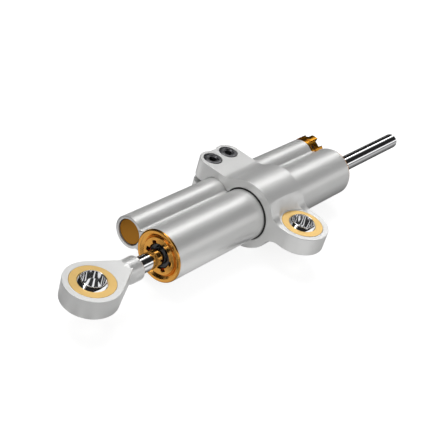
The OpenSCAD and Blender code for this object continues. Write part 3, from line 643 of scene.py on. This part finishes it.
# Adjuster knob: turned and milled from aluminium, anodised orange gold. Its
# ribs stand past its end as teeth, and a small grub screw holds it on.
orange = finish_of("orange_anodised", (0.62, 0.29, 0.04), 1.0, 0.26, fleck=0.05, edge=(0.9, 0.6, 0.3))
dark_steel = finish_of("dark_steel", (0.24, 0.24, 0.25), 1.0, 0.3)
knob_lo, knob_hi = span("adjuster_knob")
knob_r = 6.05
rib_r = 6.35
rib_depth = 2.2
rib_half = 14
rib_count = 6
rib_start = knob_lo.x + 2.9
knob_x1 = knob_hi.x - 2
valve_nose_x = side_x1 + 4.04
nose_room_r = 3.04
shaft_room_r = 1.54
knob = turned("knob_orange", [
    (nose_room_r, knob_lo.x), (knob_r, knob_lo.x, 0.4), (knob_r, knob_x1, 0.3),
    (shaft_room_r, knob_x1), (shaft_room_r, valve_nose_x), (nose_room_r, valve_nose_x)], place=on_side)
for i in range(rib_count):
    middle = 90 + 360 / rib_count * i
    rib = prism("rib", arc((0, 0), rib_r, middle - rib_half, middle + rib_half, 10)
                + arc((0, 0), rib_r - rib_depth, middle + rib_half, middle - rib_half, 6),
                rib_start, knob_hi.x)
    rib.data.transform(Matrix.Translation(Vector(on_side) * MM))
    join(knob, rib)
grub_angle = math.radians(125)
grub_x = side_x1 + 2.4
grub_r = 1.0
grub_start = 2.54
grub_end = knob_r - 0.45
swing = (Matrix.Translation(Vector((grub_x, side_y, 0)) * MM)
         @ Matrix.Rotation(grub_angle - math.pi / 2, 4, "X"))
grub_hole = drill(grub_r + fit, shaft_room_r + 0.06, knob_r + 1.95, "Z", steps=48)
grub_hole.data.transform(swing)
cut(knob, grub_hole)
soften(knob, 0.12, 2)
dress(knob, orange, "knob", "anodised_orange", "adjuster_knob")
grub = turned("knob_grub", [(0, grub_start), (grub_r, grub_start), (grub_r, grub_end, 0.15),
                            (0, grub_end)], "Z", steps=48)
grub_socket = drill(0.55, grub_end - 0.8, knob_r, "Z", steps=6)
cut(grub, grub_socket)
grub.data.transform(swing)
soften(grub, 0.05, 2)
dress(grub, dark_steel, "knob", "dark_steel", "knob_grub_screw")


# Piston rod: ground and chromed steel that runs right through the cylinder,
# with a rounded tail. The piston, its band and two clips sit on its middle.
chrome = finish_of("hard_chrome", (0.86, 0.86, 0.87), 1.0, 0.05, fleck=0.01, cloud=0.02, depth=0.0002)
rod_lo, rod_hi = span("piston_rod")
piston_lo, piston_hi = span("piston")
clip_w = 0.8
clip_seat_r = rod_r - 0.5
front_round = 0.5
tail_round = 1.3
clip_x0 = piston_lo.x - clip_w
clip_x1 = piston_hi.x + clip_w
rod = turned("piston_rod_chrome", [
    (0, rod_lo.x), (rod_r, rod_lo.x, front_round), (rod_r, clip_x0), (clip_seat_r, clip_x0),
    (clip_seat_r, piston_lo.x), (rod_r, piston_lo.x), (rod_r, piston_hi.x),
    (clip_seat_r, piston_hi.x), (clip_seat_r, clip_x1), (rod_r, clip_x1),
    (rod_r, rod_hi.x, tail_round), (0, rod_hi.x)])
soften(rod)
dress(rod, chrome, "rod", "rod_chrome", "piston_rod")
band_plastic = finish_of("band_plastic", (0.10, 0.06, 0.035), 0.0, 0.5)
coat(plain_metal, "piston")
coat(dark_steel, "piston_clips")
coat(band_plastic, "piston_band")


# Rod end: a round eye with flat faces, milled from aluminium and anodised
# silver. Its sides run at a tangent into a turned shank that screws onto the rod.
eye_r = 10.2
eye_half = 3.7
neck_round = 2.3
neck_reach = 16.0
shank_r = 4.55
flare_start = 13.6
flare_end = 16.4
shank_end = 21.0
race_r = 8.0
lean = math.degrees(math.acos((eye_r - neck_round) / neck_reach))
eye_outline = (arc((0, 0), eye_r, lean, 360 - lean, 96)
               + arc((neck_reach, 0), neck_round, -lean, lean, 12))
rod_end = prism("rod_end_silver", eye_outline, -eye_half, eye_half, "Z")
root_x = race_r + 0.5
root_r = eye_half - 0.25
shank = turned("shank", [
    (0, root_x), (root_r, root_x), (root_r, flare_start, 4), (shank_r, flare_end, 3),
    (shank_r, shank_end, 0.6), (0, shank_end)])
join(rod_end, shank)
cut(rod_end, drill(race_r + fit, -eye_half - over, eye_half + over, "Z"),
    drill(rod_r + fit, rod_lo.x - 0.3, shank_end + over))
soften(rod_end, 0.15)
dress(rod_end, silver, "rod", "anodised_silver", "rod_end")


# Spherical bearings, one in the rod end and one in the clamp's ear: a gold
# ring pressed in flush, a polished ball in its round seat, and a polished
# sleeve through the ball that takes the 8 mm bolt and stands out of it.
ring_gold = finish_of("bearing_ring_gold", (0.82, 0.55, 0.20), 0.75, 0.36, fleck=0.08, cloud=0.16)
ball_r = 6.45
seat_r = ball_r + play
sleeve_r = 4.35
sleeve_bore_r = 4.0
sleeve_half = 4.9
brim_w = 0.29
ear_middle = (span("clamp_race")[0] + span("clamp_race")[1]) / 2


def bearing(owner, body, place):
    """One ring, ball and sleeve. The owner's name starts those of its nodes, and
    the body is the one that the ring is pressed into."""
    mouth = math.degrees(math.asin(eye_half / seat_r))
    ring = turned(owner + "_bearing_ring", [
        (race_r, -eye_half, 0.1), (race_r, eye_half, 0.1)]
        + arc((0, 0), seat_r, mouth, -mouth, 24), "Z", place)
    soften(ring)
    dress(ring, ring_gold, body, "ring_gold", owner + "_race")
    brim = math.degrees(math.acos((sleeve_r + brim_w) / ball_r))
    brim_z = ball_r * math.sin(math.radians(brim))
    ball = turned(owner + "_bearing_ball", [(sleeve_r + play, -brim_z)]
                  + arc((0, 0), ball_r, -brim, brim, 40) + [(sleeve_r + play, brim_z)], "Z", place)
    soften(ball)
    dress(ball, chrome, owner + "_ball", "ball_chrome", owner + "_ball")
    sleeve = turned(owner + "_bearing_sleeve", [
        (sleeve_bore_r, -sleeve_half, 0.15), (sleeve_r, -sleeve_half, 0.2),
        (sleeve_r, sleeve_half, 0.2), (sleeve_bore_r, sleeve_half, 0.15)], "Z", place)
    soften(sleeve)
    dress(sleeve, chrome, owner + "_sleeve", "ball_chrome", owner + "_sleeve")


bearing("rod_end", "rod", (0, 0, 0))
bearing("clamp", "clamp", ear_middle)


# Clamp: milled from a block of aluminium, blasted and anodised silver. It is
# round the tubes, has an ear for the bearing and two jaws for the screws, and
# flows into the ear and the jaws with large fillets.
clamp_lo, clamp_hi = span("clamp")
clamp_bore_r = 10.5
clamp_r = 13.9
ear_top = ear_middle.z + eye_half
ear_low = ear_middle.z - eye_half
ear_r = (clamp_hi.x - clamp_lo.x) / 2
block_top = 9.4
block_low = -8.6
head_lo, head_hi = span("clamp_screws")
head_r = 3.5
head_len = 4
screw_r = 2.0
screw_y = head_lo.y + head_r
screw_x = (head_lo.x + head_r, head_hi.x - head_r)
lobe_y = screw_y - 0.5
lobe_r = clamp_hi.y - lobe_y
lobe_dip = 0.85
clamp_valley_r = 1.4
head_gap = 0.25
screw_hole_depth = 16.5
pocket_r = 9.2
pocket_top_r = 14.6
pocket_reach = 15
pocket_set = 0.6
slit_low = -1.0
slit_top = 1.2


def fillet(level, radius, side):
    """Arc from a level face to the round body, towards the ear if side is -1."""
    height = math.copysign(abs(level) + radius, level)
    centre = (side * math.sqrt((clamp_r + radius) ** 2 - height ** 2), height)
    first = -90 if level > 0 else 90
    return arc(centre, radius, first, math.degrees(math.atan2(-centre[1], -centre[0])), 14)


def between(one, two, steps):
    """Points of the round body that lie between two others of its outline."""
    first = math.degrees(math.atan2(one[1], one[0]))
    last = math.degrees(math.atan2(two[1], two[0]))
    return arc((0, 0), clamp_r, first, last, steps)[1:-1]


out = 30
ear_over = fillet(ear_top, 5.5, -1)
block_over = fillet(block_top, 10, 1)
block_under = fillet(block_low, 6, 1)
ear_under = fillet(ear_low, 5, -1)
section = ([(clamp_lo.y - over, ear_top)] + ear_over + between(ear_over[-1], block_over[-1], 48)
           + block_over[::-1] + [(clamp_hi.y + over, block_top), (clamp_hi.y + over, block_low)]
           + block_under + between(block_under[-1], ear_under[-1], 48)
           + ear_under[::-1] + [(clamp_lo.y - over, ear_low)])
clamp = prism("clamp_silver", section, clamp_lo.x - over, clamp_hi.x + over)
dip = math.degrees(math.asin(lobe_dip))
plan = (arc((ear_middle.x, ear_middle.y), ear_r, 180, 360, 64)
        + arc((screw_x[1], lobe_y), lobe_r, 0, 180 - dip, 24)
        + arc((screw_x[0], lobe_y), lobe_r, dip, 180, 24))
join(clamp, prism("plan", plan, -out, out, "Z"), operation="INTERSECT")
pocket_top = ear_top + pocket_reach
pocket = turned("pocket", [(0, ear_top), (pocket_r, ear_top), (pocket_top_r, pocket_top), (0, pocket_top)],
                "Z", (ear_middle.x, ear_middle.y - pocket_set, 0))
on_ear = (ear_middle.x, ear_middle.y, 0)
room_x0, room_x1 = clamp_lo.x - 2 * over, clamp_hi.x + 2 * over
cut(clamp, pocket,
    prism("tube_room", twin(clamp_bore_r, side_r + 0.1, clamp_valley_r), room_x0, room_x1),
    prism("slit", [(side_y, slit_low), (side_y + out, slit_low), (side_y + out, slit_top),
                   (side_y, slit_top)], room_x0, room_x1),
    drill(race_r + fit, ear_low - fit, ear_top + fit, "Z", on_ear),
    drill(sleeve_r + 2, ear_low - pocket_reach, ear_low, "Z", on_ear))
for x in screw_x:
    on_screw = (x, screw_y, 0)
    cut(clamp, drill(head_r + head_gap, block_top - head_len, block_top + over, "Z", on_screw, 96),
        drill(screw_r + 0.1, block_top - screw_hole_depth, block_top, "Z", on_screw, 64))
soften(clamp, 0.25)
dress(clamp, silver, "clamp", "anodised_silver", "clamp")


# Liner: a thin black sleeve between the clamp and the main tube. It stands a
# little out of the clamp at each end and stops at the web between the tubes.
black_plastic = finish_of("liner_black", (0.008, 0.008, 0.008), 0.0, 0.35)
liner_lo, liner_hi = span("clamp_liner")
liner_r = tube_r + 0.06
liner_out_r = tube_r + 0.48
web_reach = 26
web_half = 16.5
liner = turned("clamp_liner_black", [
    (liner_r, liner_lo.x), (liner_out_r, liner_lo.x, 0.12),
    (liner_out_r, liner_hi.x, 0.12), (liner_r, liner_hi.x)], steps=192)
cut(liner, prism("wedge", [(0, 0), (web_reach, web_half), (web_reach, -web_half)],
                 liner_lo.x - over, liner_hi.x + over))
soften(liner)
dress(liner, black_plastic, "clamp", "liner_black", "clamp_liner")


# Clamp screws: two M4 cap screws of blackened steel, with a hexagon socket.
# Their heads are sunk into the upper jaw and pull the lower one up to it.
hex_half = 1.5
hex_r = hex_half / math.cos(math.pi / 6)
hex_depth = 2
hex_dish = 0.35
dish_r = 2.2
neck_z = head_hi.z - head_len
dish_z = head_hi.z - hex_dish
screws = None
for x in screw_x:
    on_screw = (x, screw_y, 0)
    screw = turned("clamp_screws_dark", [
        (0, head_lo.z), (screw_r, head_lo.z, 0.4), (screw_r, neck_z), (head_r, neck_z, 0.1),
        (head_r, head_hi.z, 0.45), (dish_r, head_hi.z, 0.1), (dish_r - 0.3, dish_z), (0, dish_z)],
        "Z", on_screw, 96)
    cut(screw, drill(hex_r, head_hi.z - hex_depth, head_hi.z + over, "Z", on_screw, 6))
    if screws:
        join(screws, screw)
    else:
        screws = screw
soften(screws)
dress(screws, dark_steel, "clamp", "dark_steel", "clamp_screws")
